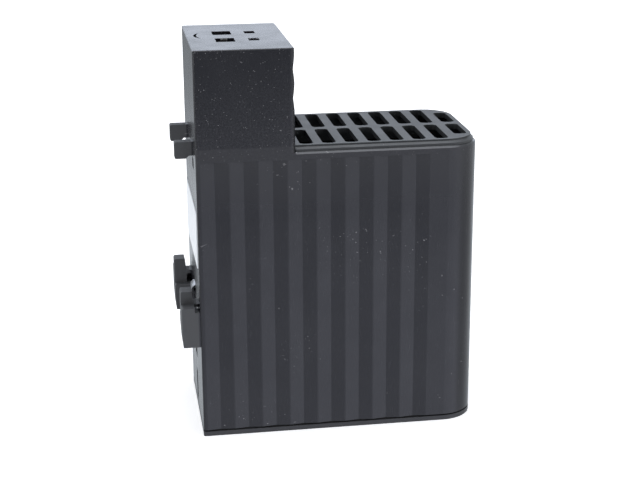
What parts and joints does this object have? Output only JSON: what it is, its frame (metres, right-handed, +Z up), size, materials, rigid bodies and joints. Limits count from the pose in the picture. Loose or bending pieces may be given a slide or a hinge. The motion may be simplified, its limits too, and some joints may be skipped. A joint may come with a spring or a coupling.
{
  "type": "enclosure heater",
  "caption": "Touch-safe enclosure heater for a 35 mm rail: fluted black L-shaped housing, slotted air grille, terminal tower with spring clamps and rear rail claws.",
  "frame": {"origin": "middle of the rail seat: on the rear face, on the centre line of the 35 mm rail that the claws and hooks hold", "axes": "+Z up along the tower, +Y out of the rear face towards the rail, +X across the width; the rounded front faces -Y"},
  "size_m": [0.038, 0.0748, 0.098],
  "materials": {
    "housing_black": "fine matt moulded surface",
    "label_pale": "smooth blank film",
    "profile_black": "black anodised",
    "plate_aluminium": "mill finish",
    "sleeve_amber": "smooth film",
    "contact_brass": "rolled strip",
    "frame_white": "moulded",
    "stone_grey": "sintered",
    "lead_white": "silicone insulation",
    "grommet_black": "soft matt",
    "carrier_grey": "moulded",
    "spring_steel": "rolled strip"
  },
  "bodies": {
    "root": {"housing": "housing_black", "outlet_grille": "housing_black", "base_cover": "housing_black", "rear_label": "label_pale", "rail_spring": "spring_steel", "heat_sink": "profile_black", "pressing_plate": "plate_aluminium", "insulating_sleeve": "sleeve_amber", "electrode_left": "contact_brass", "electrode_right": "contact_brass", "stone_frame": "frame_white", "heating_stone_upper": "stone_grey", "heating_stone_lower": "stone_grey", "lead_left": "lead_white", "lead_right": "lead_white", "push_on_terminals": "spring_steel", "lead_grommet": "grommet_black", "terminal_carrier": "carrier_grey", "contact_bar_left": "contact_brass", "contact_bar_right": "contact_brass", "clamp_spring_left": "spring_steel", "clamp_spring_right": "spring_steel"}
  },
  "joints": []
}
